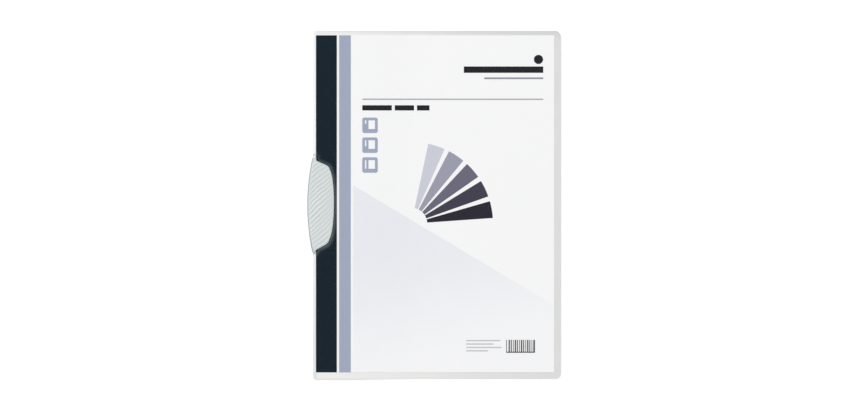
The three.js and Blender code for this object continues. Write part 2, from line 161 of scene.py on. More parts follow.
def addDome():
    world = bpy.data.worlds.new("whiteDome")
    bpy.context.scene.world = world
    world.use_nodes = True
    nodes, links = world.node_tree.nodes, world.node_tree.links
    nodes.clear()
    path = nodes.new("ShaderNodeLightPath")
    seen = combine(nodes, links, "MAXIMUM", path.outputs["Is Camera Ray"], path.outputs["Is Glossy Ray"])
    through = combine(nodes, links, "MAXIMUM", seen, path.outputs["Is Transmission Ray"])
    strength = nodes.new("ShaderNodeMapRange")
    strength.inputs["To Min"].default_value = studio["domeStrength"]
    strength.inputs["To Max"].default_value = studio["seenStrength"]
    links.new(through, strength.inputs["Value"])
    background = nodes.new("ShaderNodeBackground")
    background.inputs["Color"].default_value = studio["white"]
    links.new(strength.outputs[0], background.inputs["Strength"])
    output = nodes.new("ShaderNodeOutputWorld")
    links.new(background.outputs[0], output.inputs["Surface"])


def addLamp():
    lampData = bpy.data.lights.new("softLamp", "AREA")
    lampData.size = studio["lampSize"]
    lampData.energy = studio["lampPower"]
    lamp = bpy.data.objects.new("softLamp", lampData)
    bpy.context.scene.collection.objects.link(lamp)
    lamp.location = studio["lampAt"]
    down = -lamp.location.normalized()
    lamp.rotation_euler = down.to_track_quat("-Z", "Y").to_euler()


# The floor is clear from below, and doesn't shade what lies right on it, so that the underside shows too
def floorMaterial():
    material, nodes, links, shader = startMaterial("floorWhite", 0)
    shader.inputs["Base Color"].default_value = studio["floorColour"]
    shader.inputs["Roughness"].default_value = studio["floorRoughness"]
    shader.inputs["Emission Color"].default_value = studio["white"]
    path = nodes.new("ShaderNodeLightPath")
    glow = combine(nodes, links, "MULTIPLY", path.outputs["Is Camera Ray"], studio["floorGlow"])
    links.new(glow, shader.inputs["Emission Strength"])
    closeBy = combine(nodes, links, "LESS_THAN", path.outputs["Ray Length"], studio["touchLength"])
    touching = combine(nodes, links, "MULTIPLY", closeBy, path.outputs["Is Diffuse Ray"])
    geometry = nodes.new("ShaderNodeNewGeometry")
    unseen = combine(nodes, links, "MAXIMUM", touching, geometry.outputs["Backfacing"])
    mixShaders(nodes, links, unseen, shader, nodes.new("ShaderNodeBsdfTransparent"))
    return material


def addFloor():
    mesh = bpy.data.meshes.new("floor")
    half = studio["floorSize"] / 2
    low = -studio["floorDrop"]
    mesh.from_pydata([(-half, -half, low), (half, -half, low), (half, half, low), (-half, half, low)],
                     [], [(0, 1, 2, 3)])
    floor = bpy.data.objects.new("floor", mesh)
    bpy.context.scene.collection.objects.link(floor)
    mesh.materials.append(floorMaterial())


bpy.context.scene.view_settings.view_transform = "Standard"
addDome()
addLamp()
addFloor()
print("studio set")


# Shader node groups that several materials share
def startGroup(name, inputs, outputs):
    group = bpy.data.node_groups.new(name, "ShaderNodeTree")
    for label, kind, value in inputs:
        socket = group.interface.new_socket(name=label, in_out="INPUT", socket_type=kind)
        socket.default_value = value
    for label, kind in outputs:
        group.interface.new_socket(name=label, in_out="OUTPUT", socket_type=kind)
    return group, group.nodes.new("NodeGroupInput"), group.nodes.new("NodeGroupOutput")


grainDetail = {"speckle": 3, "cloud": 2}


# Grain: a colour that wavers with fine speckle and broad cloud, and a height for a bump
def makeGrainGroup():
    group, given, result = startGroup(
        "surfaceGrain",
        [("Colour", "NodeSocketColor", (0.8, 0.8, 0.8, 1)), ("Speckle Scale", "NodeSocketFloat", 2500),
         ("Cloud Scale", "NodeSocketFloat", 30), ("Speckle", "NodeSocketFloat", 0.03),
         ("Cloud", "NodeSocketFloat", 0.02)],
        [("Colour", "NodeSocketColor"), ("Height", "NodeSocketFloat"), ("Cloud Mask", "NodeSocketFloat")])
    nodes, links = group.nodes, group.links
    place = nodes.new("ShaderNodeTexCoord")

    def addNoise(scale, detail):
        noise = nodes.new("ShaderNodeTexNoise")
        noise.inputs["Detail"].default_value = detail
        links.new(place.outputs["Object"], noise.inputs["Vector"])
        links.new(given.outputs[scale], noise.inputs["Scale"])
        return noise.outputs["Fac"]

    def swing(noise, amount):
        centred = combine(nodes, links, "SUBTRACT", noise, 0.5)
        return combine(nodes, links, "MULTIPLY", centred, given.outputs[amount])

    speckle = addNoise("Speckle Scale", grainDetail["speckle"])
    cloud = addNoise("Cloud Scale", grainDetail["cloud"])
    both = combine(nodes, links, "ADD", swing(speckle, "Speckle"), swing(cloud, "Cloud"))
    around = combine(nodes, links, "ADD", both, 1)
    tint = nodes.new("ShaderNodeVectorMath")
    tint.operation = "SCALE"
    links.new(given.outputs["Colour"], tint.inputs[0])
    links.new(around, tint.inputs["Scale"])
    links.new(tint.outputs[0], result.inputs["Colour"])
    links.new(speckle, result.inputs["Height"])
    links.new(cloud, result.inputs["Cloud Mask"])
    return group


# Ramp: how far a point lies along the folder, from one place to another, as a share from 0 to 1
def makeRampGroup():
    group, given, result = startGroup(
        "placeRamp",
        [("Across", "NodeSocketFloat", 1), ("Along", "NodeSocketFloat", 0),
         ("From", "NodeSocketFloat", 0), ("To", "NodeSocketFloat", 1)],
        [("Share", "NodeSocketFloat")])
    nodes, links = group.nodes, group.links
    place = nodes.new("ShaderNodeTexCoord")
    axis = nodes.new("ShaderNodeCombineXYZ")
    links.new(given.outputs["Across"], axis.inputs["X"])
    links.new(given.outputs["Along"], axis.inputs["Y"])
    dot = nodes.new("ShaderNodeVectorMath")
    dot.operation = "DOT_PRODUCT"
    links.new(place.outputs["Object"], dot.inputs[0])
    links.new(axis.outputs[0], dot.inputs[1])
    share = nodes.new("ShaderNodeMapRange")
    share.interpolation_type = "SMOOTHSTEP"
    links.new(dot.outputs["Value"], share.inputs["Value"])
    links.new(given.outputs["From"], share.inputs["From Min"])
    links.new(given.outputs["To"], share.inputs["From Max"])
    links.new(share.outputs[0], result.inputs["Share"])
    return group


grainGroup = makeGrainGroup()
rampGroup = makeRampGroup()


def addGroup(nodes, group, **values):
    node = nodes.new("ShaderNodeGroup")
    node.node_tree = group
    for label, value in values.items():
        node.inputs[label.replace("_", " ")].default_value = value
    return node


# Share from 0 to 1 between two places in metres, along the direction that across and along give
def ramp(nodes, across, along, start, end):
    return addGroup(nodes, rampGroup, Across=across, Along=along, From=start, To=end).outputs["Share"]


# Gives a shader its grained colour, its roughness between two values and its bump
def addGrain(nodes, links, shader, look, colour, bumpFrom="Height"):
    grain = addGroup(nodes, grainGroup, **look["grain"])
    feed(links, colour, grain.inputs["Colour"])
    links.new(grain.outputs["Colour"], shader.inputs["Base Color"])
    spread = nodes.new("ShaderNodeMapRange")
    spread.inputs["To Min"].default_value, spread.inputs["To Max"].default_value = look["roughness"]
    links.new(grain.outputs["Cloud Mask"], spread.inputs["Value"])
    links.new(spread.outputs[0], shader.inputs["Roughness"])
    bump = nodes.new("ShaderNodeBump")
    bump.inputs["Distance"].default_value = look["bump"]
    links.new(grain.outputs[bumpFrom], bump.inputs["Height"])
    links.new(bump.outputs[0], shader.inputs["Normal"])


def dress(nodeName, material):
    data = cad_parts[nodeName].data
    data.materials.clear()
    data.materials.append(material)


# Back cover: milky polypropylene, with painted shade: brighter at the spine and greyer towards the fore-edge
# and the head
milky = {
    "spineSide": srgb(238, 238, 236),
    "foreSidePaintedShade": srgb(221, 221, 220),
    "headPaintedShade": srgb(212, 212, 212),
    "headShadeTilt": 0.03,  # the painted shade starts a little lower towards the fore-edge
    "headShadeReach": (-0.006, 0.003),
    "stripHead": srgb(241, 243, 244),
    "stripFoot": srgb(226, 229, 230),
    "stripFrom": -0.02,
    "stripEdge": 2.9,
    "stripFade": 0.001,
    "specular": 0.4,
    "grain": {"Speckle_Scale": 1800, "Cloud_Scale": 45, "Speckle": 0.03, "Cloud": 0.03},
    "roughness": (0.36, 0.5),
    "bump": 0.00003,
}


def milkyMaterial():
    material, nodes, links, shader = startMaterial("milkySheet", milky["specular"])
    # Painted shade: the colour greys from the spine towards the fore-edge
    towardsForeShade = ramp(nodes, 1, 0, backLow[0], backHigh[0])
    paintedShadePlain = mixColours(nodes, links, towardsForeShade, milky["spineSide"], milky["foreSidePaintedShade"])
    downStrip = ramp(nodes, 0, -1, milky["stripFrom"], -backLow[1])
    strip = mixColours(nodes, links, downStrip, milky["stripHead"], milky["stripFoot"])
    start, end = milky["headShadeReach"]
    # Painted shade: darker towards the head, reaching lower towards the fore-edge
    towardsHeadShade = ramp(nodes, milky["headShadeTilt"], 1, backHigh[1] + start, backHigh[1] + end)
    paintedShadePlain = mixColours(nodes, links, towardsHeadShade, paintedShadePlain, milky["headPaintedShade"])
    edge = (spineX + milky["stripEdge"]) * mm
    pastStrip = ramp(nodes, 1, 0, edge, edge + milky["stripFade"])
    addGrain(nodes, links, shader, milky, mixColours(nodes, links, pastStrip, strip, paintedShadePlain))
    return material


# Sheet: smooth white paper with a faint fibre
paper = {
    "colour": srgb(247, 247, 247),
    "specular": 0.2,
    "grain": {"Speckle_Scale": 2200, "Cloud_Scale": 60, "Speckle": 0.02, "Cloud": 0.012},
    "roughness": (0.72, 0.86),
    "bump": 0.00004,
}


def paperMaterial():
    material, nodes, links, shader = startMaterial("paper", paper["specular"])
    addGrain(nodes, links, shader, paper, paper["colour"])
    return material


# Inks: each has its colour, and how much its speckle and cloud show
inks = {
    "print_dark_band": (srgb(20, 33, 43), 0.2, 0.12),
    "print_blue_band": (srgb(162, 170, 190), 0.05, 0.05),
    "print_rule": (srgb(158, 160, 164), 0.06, 0.04),
    "print_title_bar_1": (srgb(36, 37, 41), 0.2, 0.1),
    "print_symbol_1": (srgb(160, 170, 190), 0.05, 0.04),
    "print_corner_line": (srgb(150, 153, 160), 0.06, 0.04),
    "print_bar_block": (srgb(84, 85, 88), 0.15, 0.1),
    "print_small_line_1": (srgb(190, 191, 194), 0.06, 0.04),
    "print_fan_blade_1": (srgb(44, 42, 52), 0.2, 0.12),
    "print_fan_blade_2": (srgb(68, 65, 79), 0.15, 0.1),
    "print_fan_blade_3": (srgb(108, 106, 123), 0.1, 0.06),
    "print_fan_blade_4": (srgb(156, 157, 173), 0.06, 0.04),
    "print_fan_blade_5": (srgb(203, 206, 216), 0.04, 0.03),
}
sameInk = {
    "print_title_bar_1": ("print_title_bar_2", "print_title_bar_3", "print_corner_bar", "print_corner_disc"),
    "print_symbol_1": ("print_symbol_2", "print_symbol_3"),
    "print_small_line_1": ("print_small_line_2", "print_small_line_3", "print_small_line_4"),
}
inkFinish = {"specular": 0.04, "scales": (2600, 35), "roughness": (0.5, 0.66), "bump": 0.00003}


def inkMaterial(name, colour, speckle, cloud):
    material, nodes, links, shader = startMaterial(name, inkFinish["specular"])
    speckleScale, cloudScale = inkFinish["scales"]
    grain = {"Speckle_Scale": speckleScale, "Cloud_Scale": cloudScale, "Speckle": speckle, "Cloud": cloud}
    addGrain(nodes, links, shader, {**inkFinish, "grain": grain}, colour)
    return material


# Pale field: a lavender tint that clears towards the sheet's foot
paleField = {
    "tint": srgb(233, 235, 240),
    "clear": srgb(246, 246, 247),
    "slant": 0.25,
    "fadeFrom": 0.02,
    "specular": 0.15,
    "grain": {"Speckle_Scale": 2600, "Cloud_Scale": 25, "Speckle": 0.015, "Cloud": 0.03},
    "roughness": (0.55, 0.7),
    "bump": 0.00003,
}


def paleFieldMaterial():
    material, nodes, links, shader = startMaterial("palePrint", paleField["specular"])
    low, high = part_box("print_pale_field")
    towardsFoot = ramp(nodes, paleField["slant"], -1, paleField["fadeFrom"], -low[1])
    colour = mixColours(nodes, links, towardsFoot, paleField["tint"], paleField["clear"])
    addGrain(nodes, links, shader, paleField, colour)
    return material


def dressSheet():
    dress("back_cover", milkyMaterial())
    dress("insert_sheet", paperMaterial())
    dress("print_pale_field", paleFieldMaterial())
    for name, values in inks.items():
        material = inkMaterial(name.replace("print_", "ink_"), *values)
        for nodeName in (name, *sameInk.get(name, ())):
            dress(nodeName, material)


dressSheet()
print("sheet and back cover dressed")


# Heights of the layers over the surface, which slope down from the clip
layers = {
    "backLift": 1.3,
    "slopeStart": 34,
    "slopeLength": 60,
    "filmLift": 1.0,
    "crest": 1.65,
    "crestStart": 2,
    "crestLength": 24,
    "filmThickness": 0.25,
}


def easeDown(share):
    return (1 + np.cos(np.pi * np.clip(share, 0, 1))) / 2


def filmUnder(x):
    base = layers["backLift"] * easeDown((x - layers["slopeStart"]) / layers["slopeLength"])
    crest = layers["crest"] * easeDown((x - layers["crestStart"]) / layers["crestLength"])
    return base + layers["filmLift"] + crest


# Clip: the plan of its upper leaf, with an ear round the pivot and a tip at the foot
leaf = {
    "reach": 18.6,
    "overhang": 4.95,
    "middle": 0.3,
    "top": 43.4,
    "foot": -42.8,
    "headSetback": 4,
    "headDrop": 9.65,
    "headSlant": 0.445,
    "footSetback": 4.7,
    "footRise": 9.05,
    "footSlant": 0.55,
    "rounding": 3.2,
    "lean": 0.6,
    "bulgeHalf": 22,
    "earRadius": 1.5,
    "earSweepBelow": 0.12,  # how far the ear's arc runs on below its widest point, in half turns
    "neck": 0.2,
    "pivotX": 1.6,
    "pivotDrop": 1.6,
    "arcHeadX": -0.7,
    "arcFootX": -0.65,
    "arcEndShare": 1.2,  # from the pivot's height and from the tip, in ear radii
    "tipX": 0.45,
    "under": 2.4,
    "thickness": 1.2,
    "straightSteps": 14,
    "cornerSteps": 12,
    "bulgeSteps": 90,
    "spineSteps": 160,
    "earSteps": 40,
}
pivotY = leaf["top"] - leaf["pivotDrop"]
arcInset = leaf["arcEndShare"] * leaf["earRadius"]
arcHead = np.array([leaf["arcHeadX"], pivotY - arcInset])
arcFoot = np.array([leaf["arcFootX"], leaf["foot"] + arcInset])
arcMiddle = (arcHead + arcFoot) / 2
arcHalf = np.linalg.norm(arcHead - arcFoot) / 2
arcDepth = leaf["overhang"] + arcMiddle[0]
arcRadius = (arcHalf ** 2 + arcDepth ** 2) / (2 * arcDepth)
arcInward = np.array([arcHead[1] - arcFoot[1], arcFoot[0] - arcHead[0]]) / (2 * arcHalf)
arcCentre = arcMiddle + arcInward * (arcRadius - arcDepth)


def bezier(points, count):
    t = np.linspace(0, 1, count)[:, None]
    points = [np.array(p, float) for p in points]
    if len(points) == 3:
        a, b, c = points
        return (1 - t) ** 2 * a + 2 * t * (1 - t) * b + t ** 2 * c
    a, b, c, d = points
    return (1 - t) ** 3 * a + 3 * t * (1 - t) ** 2 * b + 3 * t ** 2 * (1 - t) * c + t ** 3 * d


def arc(centre, radius, start, end, count):
    angles = np.linspace(start, end, count)
    return np.column_stack([centre[0] + radius * np.cos(angles), centre[1] + radius * np.sin(angles)])


def earArc(start, end, count):
    return arc((leaf["pivotX"], pivotY), leaf["earRadius"], start * math.pi, end * math.pi, count)


# Fore side of the leaf, a clearance outside it, from the neck under its ear down to the neck over its tip
def leafForeSide(out):
    headX, headY = leaf["reach"] - leaf["headSetback"] + out, leaf["top"] - leaf["headDrop"] + out
    footX, footY = leaf["reach"] - leaf["footSetback"] + out, leaf["foot"] + leaf["footRise"] - out
    sideHead = (headX + leaf["lean"], headY - leaf["rounding"])
    sideFoot = (footX + leaf["lean"], footY + leaf["rounding"])
    # A cubic's middle is an eighth of its ends and three eighths of its controls, and lies at the reach here
    bulge = (8 * (leaf["reach"] + out) - sideHead[0] - sideFoot[0]) / 6
    neckX = leaf["pivotX"] + leaf["earRadius"] + out + leaf["neck"]
    headStart, footStart = headX - leaf["rounding"], footX - leaf["rounding"]

    def onHead(x):
        return (x, headY + (headX - x) * leaf["headSlant"])

    def onFoot(x):
        return (x, footY - (footX - x) * leaf["footSlant"])

    headControl, footControl = leaf["middle"] + leaf["bulgeHalf"], leaf["middle"] - leaf["bulgeHalf"]
    straight, corner = leaf["straightSteps"], leaf["cornerSteps"]
    return np.vstack([
        np.linspace(onHead(neckX), onHead(headStart), straight)[:-1],
        bezier([onHead(headStart), (headX, headY), sideHead], corner)[:-1],
        bezier([sideHead, (bulge, headControl), (bulge, footControl), sideFoot], leaf["bulgeSteps"])[:-1],
        bezier([sideFoot, (footX, footY), onFoot(footStart)], corner)[:-1],
        np.linspace(onFoot(footStart), onFoot(neckX), straight),
    ])


def leafSpineSide():
    headAngle = math.pi - math.asin((arcHead[1] - arcCentre[1]) / arcRadius)
    footAngle = math.pi + math.asin((arcCentre[1] - arcFoot[1]) / arcRadius)
    return arc(arcCentre, arcRadius, footAngle, headAngle, leaf["spineSteps"])


# Whole outline, clockwise from the tip
def leafOutline():
    tip = np.array([[leaf["tipX"], leaf["foot"]]])
    ear = earArc(1, -leaf["earSweepBelow"], leaf["earSteps"])
    return np.vstack([tip, leafSpineSide(), ear, leafForeSide(0)])


# Window in the front cover, from the spine over the clip's ear and round to the spine again
window = {
    "clearance": 0.35,
    "topY": 44.5,
    "footY": -43.9,
    "filmEdge": 0.35,
    "foreFrom": 6.2,  # nearer the spine, the window leaves the leaf's shape
    "earStartX": 2.0,
    "earCornerX": 3.9,
    "earSide": (4.0, 42.2),
    "neckX": 4.1,
    "neckRise": 1.0,
    "tipNeckX": 4.6,
    "tipNeckDrop": 0.9,
    "tipSide": (3.4, -42.3),
    "tipCornerX": 2.4,
    "tipEndX": 1.4,
    "headSteps": 10,
    "footSteps": 8,
    "rimStart": 0.1,
    "rimWidth": 2.3,
    "rimHeight": 0.2,
}


def windowPath():
    fore = leafForeSide(window["clearance"])
    fore = fore[fore[:, 0] > window["foreFrom"]]
    head, foot = fore[0], fore[-1]
    top, bottom, edge = window["topY"], window["footY"], window["filmEdge"]
    earSide, tipSide = window["earSide"], window["tipSide"]
    headSteps, footSteps = window["headSteps"], window["footSteps"]
    return np.vstack([
        [(edge, top)],
        bezier([(window["earStartX"], top), (window["earCornerX"], top), earSide], headSteps),
        bezier([earSide, (window["neckX"], head[1] + window["neckRise"]), head], headSteps)[1:-1],
        fore,
        bezier([foot, (window["tipNeckX"], foot[1] - window["tipNeckDrop"]), tipSide], footSteps)[1:],
        bezier([tipSide, (window["tipCornerX"], bottom), (window["tipEndX"], bottom)], footSteps)[1:],
        [(edge, bottom)],
    ])


# Distance of each point from the nearest stretch of the path
def distanceTo(path, points):
    nearest = np.full(len(points), np.inf)
    for start, end in zip(path[:-1], path[1:]):
        along = end - start
        size = max(float(along @ along), 1e-12)  # two points of a path can be the same
        share = np.clip(((points - start) @ along) / size, 0, 1)
        gap = points - (start + share[:, None] * along)
        nearest = np.minimum(nearest, np.hypot(gap[:, 0], gap[:, 1]))
    return nearest


def placePiece(name, mesh, body, material, replaced=()):
    piece = bpy.data.objects.new(name, mesh)
    bpy.context.scene.collection.objects.link(piece)
    mesh.materials.append(material)
    if replaced:
        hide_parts(*replaced)
    if body:
        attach(piece, body)
    return piece


def smooth(mesh, degrees):
    mesh.shade_smooth()
    mesh.set_sharp_from_angle(angle=math.radians(degrees))


# Front cover: clear film, whose edge round the window is pressed up a little, with a pale glow painted round
# the window for the light that the white clip throws on the dark print
film = {
    "tint": srgb(214, 227, 240),
    # painted shade: the dark grey that light gives a clear film's cut edge
    "cutEdgeShade": srgb(110, 120, 126),
    "specular": 0.5,
    "ior": 1.5,
    "glanceIor": 1.08,  # low, so that the film shows only where it is seen almost edge-on
    "grain": {"Speckle_Scale": 900, "Cloud_Scale": 12, "Speckle": 0.02, "Cloud": 0.03},
    "roughness": (0.1, 0.2),
    "bump": 0.0004,
    "haze": 0.002,
    # strength of the pale glow painted round the window
    "hazeAndPaintedRimGlow": 0.16,
    "cutEdgeShadeShare": 0.85,
    "cornerRadius": 5,
    "cornerSteps": 14,
    "gridNear": 0.7,
    "gridFar": 9,
    "gridStart": 0.8,
    "gridPastLeaf": 7,
    "gridHalf": 52,
    "sharpAngle": 40,
}

# Painted glow round the window: its strength and its reach into the film, at rows from the foot to the head
rimGlowRows = {
    "y": (-60, -45, -38, -28, -10, 10, 28, 36, 44, 60),
    "strength": (0, 0.4, 0.75, 0.9, 0.75, 0.7, 0.65, 0.55, 0.25, 0),
    "reach": (2, 2.0, 2.3, 2.1, 1.7, 1.7, 2.0, 2.0, 1.6, 1.4),
    "falloff": 2.2,
}


def filmMaterial():
    material, nodes, links, shader = startMaterial("clearFilm", film["specular"])
    shader.inputs["IOR"].default_value = film["ior"]
    cutEdge = nodes.new("ShaderNodeAttribute")
    cutEdge.attribute_name = "cutEdge"
    # Painted shade: the cut edge's faces take a dark grey film colour
    colour = mixColours(nodes, links, cutEdge.outputs["Fac"], film["tint"], film["cutEdgeShade"])
    addGrain(nodes, links, shader, film, colour, bumpFrom="Cloud Mask")
    # Faint haze over the film, and a painted glow round the window for light from the white clip
    haze = nodes.new("ShaderNodeAttribute")
    haze.attribute_name = "hazeAndPaintedRimGlow"
    edgeOn = nodes.new("ShaderNodeFresnel")
    edgeOn.inputs["IOR"].default_value = film["glanceIor"]
    hazeGlowAndEdge = combine(nodes, links, "ADD", haze.outputs["Fac"], cutEdge.outputs["Fac"])
    total = combine(nodes, links, "ADD", hazeGlowAndEdge, edgeOn.outputs[0])
    geometry = nodes.new("ShaderNodeNewGeometry")
    frontOnly = combine(nodes, links, "SUBTRACT", total, geometry.outputs["Backfacing"], clamp=True)
    mixShaders(nodes, links, frontOnly, nodes.new("ShaderNodeBsdfTransparent"), shader)
    return material


def coverOutline():
    edge, half = window["filmEdge"], coverHeight / 2
    r, steps = film["cornerRadius"], film["cornerSteps"]
    footCorner = arc((coverWidth - r, r - half), r, -math.pi / 2, 0, steps)
    headCorner = arc((coverWidth - r, half - r), r, 0, math.pi / 2, steps)
    return np.vstack([[(edge, -half)], footCorner, headCorner, [(edge, half)], windowPath()])


# Places of the grid's lines: close together from low to high, and far apart from there to the limit
def gridLines(low, high, limit):
    near, far = film["gridNear"], film["gridFar"]
    return [*np.arange(low, high, near), *np.arange(high + far, limit, far)]


def cutPlanes(sheet, axis, places):
    for place in places:
        point, normal = [0, 0, 0], [0, 0, 0]
        point[axis], normal[axis] = place, 1
        geometry = sheet.verts[:] + sheet.edges[:] + sheet.faces[:]
        bmesh.ops.bisect_plane(sheet, geom=geometry, dist=1e-5, plane_co=point, plane_no=normal)


# Turns a flat mesh in mm into a closed film with the heights that the two functions give
def thicken(flat, name, under, over):
    flat.verts.ensure_lookup_table()
    plan = np.array([v.co[:2] for v in flat.verts])
    count = len(plan)
    faces = [[v.index for v in f.verts] for f in flat.faces]
    rim = []
    for edge in flat.edges:
        if len(edge.link_loops) == 1:
            loop = edge.link_loops[0]
            rim.append((loop.vert.index, loop.link_loop_next.vert.index))
    low, high = under(plan), over(plan)
    x, y = (plan[:, 0] + spineX) * mm, plan[:, 1] * mm
    points = np.vstack([np.column_stack([x, y, high * mm]), np.column_stack([x, y, low * mm])])
    closed = faces + [[i + count for i in reversed(f)] for f in faces]
    closed += [[b, a, a + count, b + count] for a, b in rim]
    mesh = bpy.data.meshes.new(name)
    mesh.from_pydata(points.tolist(), [], closed)
    mesh.update()
    return mesh, plan


def rimLift(plan):
    gap = distanceTo(windowPath(), plan)
    inRim = np.clip((gap - window["rimStart"]) / window["rimWidth"], 0, 1)
    return window["rimHeight"] * np.sin(np.pi * inRim)


# The painted glow is strongest at the leaf's foot and fore side and faint at its head; a faint even haze
# lies over all the film
def hazeAndPaintedRimGlow(plan):
    gap = distanceTo(windowPath(), plan)
    strength = np.interp(plan[:, 1], rimGlowRows["y"], rimGlowRows["strength"])
    reach = np.interp(plan[:, 1], rimGlowRows["y"], rimGlowRows["reach"])
    return film["haze"] + film["hazeAndPaintedRimGlow"] * strength * np.exp(-((gap / reach) ** rimGlowRows["falloff"]))


def buildFilm():
    flat = bmesh.new()
    flat.faces.new([flat.verts.new((x, y, 0)) for x, y in coverOutline()])
    upwards = gridLines(0, film["gridHalf"], coverHeight / 2)
    cutPlanes(flat, 0, gridLines(film["gridStart"], leaf["reach"] + film["gridPastLeaf"], coverWidth))
    cutPlanes(flat, 1, sorted(upwards + [-y for y in upwards[1:]]))
    flat.verts.index_update()
    mesh, plan = thicken(flat, "frontFilm", lambda p: filmUnder(p[:, 0]) + rimLift(p),
                         lambda p: filmUnder(p[:, 0]) + rimLift(p) + layers["filmThickness"])
    flat.free()
    haze = hazeAndPaintedRimGlow(plan)
    layer = mesh.attributes.new("hazeAndPaintedRimGlow", "FLOAT", "POINT")
    layer.data.foreach_set("value", np.concatenate([haze, haze]).astype(np.float32))
    count = len(plan)
    # Faces of the cut edge, which get the painted dark grey
    onEdge = [float(min(face.vertices) < count <= max(face.vertices)) for face in mesh.polygons]
    layer = mesh.attributes.new("cutEdge", "FLOAT", "FACE")
    layer.data.foreach_set("value", [film["cutEdgeShadeShare"] * value for value in onEdge])
    smooth(mesh, film["sharpAngle"])
    placePiece("frontFilm", mesh, "cover", filmMaterial(), ["front_cover"])


buildFilm()
print("front film built")


# Clip body: ribbed upper leaf, outer wall and lower leaf as one moulding
moulding = {
    "edgeRadius": 0.42,
    "rollWidth": 1.5,
    "rollDepth": 0.8,
    "wall": 1.3,
    "wallHalf": 33,
    "lowerThickness": 1,
    "chamfer": 0.3,
    "lensHalf": 41.6,
    "lensControl": 24.4,
    "lensFootX": 3.1,
    "lensHeadX": 4.1,
    "lensStart": 0.2,  # rows this far below the lens still belong to the lower leaf
    "lensLeast": 0.3,  # the least that the lower leaf reaches past the wall
    "lensColumns": 16,
    "lensSteps": 80,
    "earSpineSteps": 20,
    "earForeSteps": 24,
    "rowStep": 0.38,
    "rowInset": 0.03,
    "tipRows": (0, 0.08, 0.2),
    "tipSpan": 0.4,
    "crownRows": (0.35, 0.2, 0.08, 0),
    "crownSpan": 0.6,
    "columns": 58,
    "spineEdges": (0, 0.06, 0.16, 0.3, 0.5, 0.75, 1.0, 1.3, 1.6, 2.0),
    "foreEdges": (0, 0.05, 0.13, 0.25, 0.42, 0.62),
    "fullEdgesFrom": 4.6,
    "sharpAngle": 50,
}

# Ribs: slanting ridges whose lines bend and whose height varies from patch to patch.
# Each bend and patch is a wave: its size, its turn in radians per mm across and along, and its start.
ribs = {
    "pitch": 4.2,
    "angle": 43,
    "height": 0.46,
    "sharpness": 1.5,
    "crestShare": 0.15,
    "bends": ((0.5, 0.3, 0, 0.9), (0.5, 0.1, 0.09, 0), (0.45, -0.2, 0.21, 1.7), (0.22, 0.53, 0.37, 0)),
    "patchMean": 0.72,
    "patches": ((0.2, 0.29, -0.12, 0.4), (0.12, 0.37, 0.52, 0)),
    "fadeFrom": 3,
    "fadeRate": 0.04,
    "fadeLeast": 0.4,
    "fromEdge": (0.5, 0.9),  # where the ribs start, and over what width they reach their full height
    "fromSpine": (1.5, 1.0),
    "fromEar": (2.6, 1.6),
}


def waves(rows, x, y):
    return sum(size * np.sin(across * x + along * y + start) for size, across, along, start in rows)


def ribWave(x, y):
    slope = math.tan(math.radians(ribs["angle"]))
    distance = y - leaf["foot"] - (x + leaf["overhang"]) * slope - waves(ribs["bends"], x, y)
    swell = ribs["sharpness"] * np.cos(2 * np.pi * distance / ribs["pitch"]) + ribs["crestShare"]
    ridge = (np.tanh(swell) + 1) / 2
    patch = ribs["patchMean"] + waves(ribs["patches"], x, y)
    fade = np.clip(1 - ribs["fadeRate"] * np.maximum(x - ribs["fadeFrom"], 0), ribs["fadeLeast"], 1)
    return ridge * patch * fade


# How far a place lies inside the arc of the leaf's spine side
def spineGap(x, y):
    return arcRadius - np.hypot(x - arcCentre[0], y - arcCentre[1])


def growing(distance, start, width):
    return np.clip((distance - start) / width, 0, 1)


def upperHeight(x, y, outline):
    gap = distanceTo(np.vstack([outline, outline[:1]]), np.column_stack([x, y]))
    spine = np.maximum(spineGap(x, y), 0)
    r = moulding["edgeRadius"]
    edgeDrop = r - np.sqrt(np.maximum(r ** 2 - np.maximum(r - gap, 0) ** 2, 0))
    roll = np.clip(1 - spine / moulding["rollWidth"], 0, 1)
    rollDrop = moulding["rollDepth"] * (1 - np.sqrt(np.maximum(1 - roll ** 2, 0)))
    ear = np.hypot(x - leaf["pivotX"], y - pivotY)
    share = growing(gap, *ribs["fromEdge"]) * growing(spine, *ribs["fromSpine"])
    share *= growing(ear, *ribs["fromEar"])
    ribbed = share * share * (3 - 2 * share)
    top = leaf["under"] + leaf["thickness"]
    return top - np.maximum(edgeDrop, rollDrop) + ribs["height"] * ribWave(x, y) * ribbed


def clipRows():
    foot, head = leaf["foot"] + moulding["rowInset"], pivotY + leaf["earRadius"] - moulding["rowInset"]
    wallFoot, wallHead = leaf["middle"] - moulding["wallHalf"], leaf["middle"] + moulding["wallHalf"]

    def span(start, end):
        return np.linspace(start, end, max(2, round((end - start) / moulding["rowStep"]) + 1))

    return np.concatenate([
        [foot + rise for rise in moulding["tipRows"]],
        span(foot + moulding["tipSpan"], wallFoot)[:-1],
        span(wallFoot, wallHead)[:-1],
        span(wallHead, head - moulding["crownSpan"]),
        [head - drop for drop in moulding["crownRows"]],
    ])


def sideAt(path, ys):
    order = np.argsort(path[:, 1])
    return np.interp(ys, path[order, 1], path[order, 0])


# Places across one row, close together at its two edges
def rowColumns(left, right):
    spineEdges, foreEdges = np.array(moulding["spineEdges"]), np.array(moulding["foreEdges"])
    scale = min(1, (right - left) / moulding["fullEdgesFrom"])
    start, end = left + spineEdges * scale, right - foreEdges[::-1] * scale
    inner = np.linspace(start[-1], end[0], moulding["columns"] - len(start) - len(end) + 2)[1:-1]
    return np.concatenate([start, inner, end])


